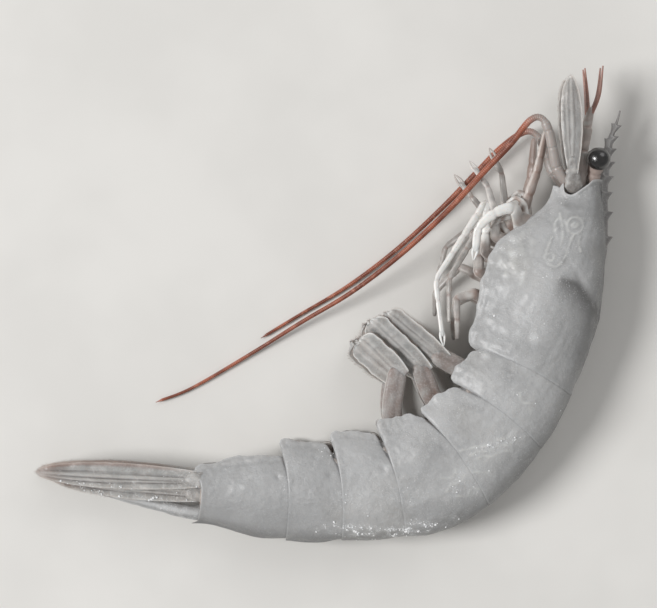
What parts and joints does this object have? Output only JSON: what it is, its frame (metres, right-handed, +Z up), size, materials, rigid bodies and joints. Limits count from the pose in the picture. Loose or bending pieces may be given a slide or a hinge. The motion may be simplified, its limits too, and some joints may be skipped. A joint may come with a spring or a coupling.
{
  "type": "raw whiteleg shrimp",
  "caption": "Whole raw shrimp with its head and shell on, lying on its side with the body curled towards the belly, tail fan closed, legs folded and long feelers laid back.",
  "frame": {"origin": "centre of the bounding box's bottom face, on the surface that the shrimp lies on", "axes": "+X and +Y as right and up in the picture, +Z up towards the camera, the shrimp's left side up: the head points to +Y, the tail fan to -X and the back to +X and -Y"},
  "size_m": [0.1226, 0.0993, 0.0201],
  "materials": {
    "shell": "translucent grey shell with frost",
    "fin": "thin translucent fin, brownish at the edges",
    "limb": "pale horny limb",
    "eye": "glossy black",
    "feeler": "reddish brown, satin"
  },
  "bodies": {
    "root": {"carapace": "shell", "segment_1": "shell", "segment_2": "shell", "segment_3": "shell", "segment_4": "shell", "segment_5": "shell", "segment_6": "shell", "telson": "shell", "uropod_outer_left": "fin", "uropod_outer_right": "fin", "uropod_inner_left": "fin", "uropod_inner_right": "fin", "swimmeret_1_left": "fin", "swimmeret_1_right": "fin", "swimmeret_2_left": "fin", "swimmeret_2_right": "fin", "swimmeret_3_left": "fin", "swimmeret_3_right": "fin", "swimmeret_4_left": "fin", "swimmeret_4_right": "fin", "swimmeret_5_left": "fin", "swimmeret_5_right": "fin", "antennal_scale_left": "fin", "antennal_scale_right": "fin", "antennule_left": "limb", "antennule_right": "limb", "maxilliped_left": "limb", "maxilliped_right": "limb", "leg_1_left": "limb", "leg_1_right": "limb", "leg_2_left": "limb", "leg_2_right": "limb", "leg_3_left": "limb", "leg_3_right": "limb", "leg_4_left": "limb", "leg_4_right": "limb", "leg_5_left": "limb", "leg_5_right": "limb", "eye_left": "eye", "eye_right": "eye", "antenna_left": "feeler", "antenna_right": "feeler"}
  },
  "joints": []
}
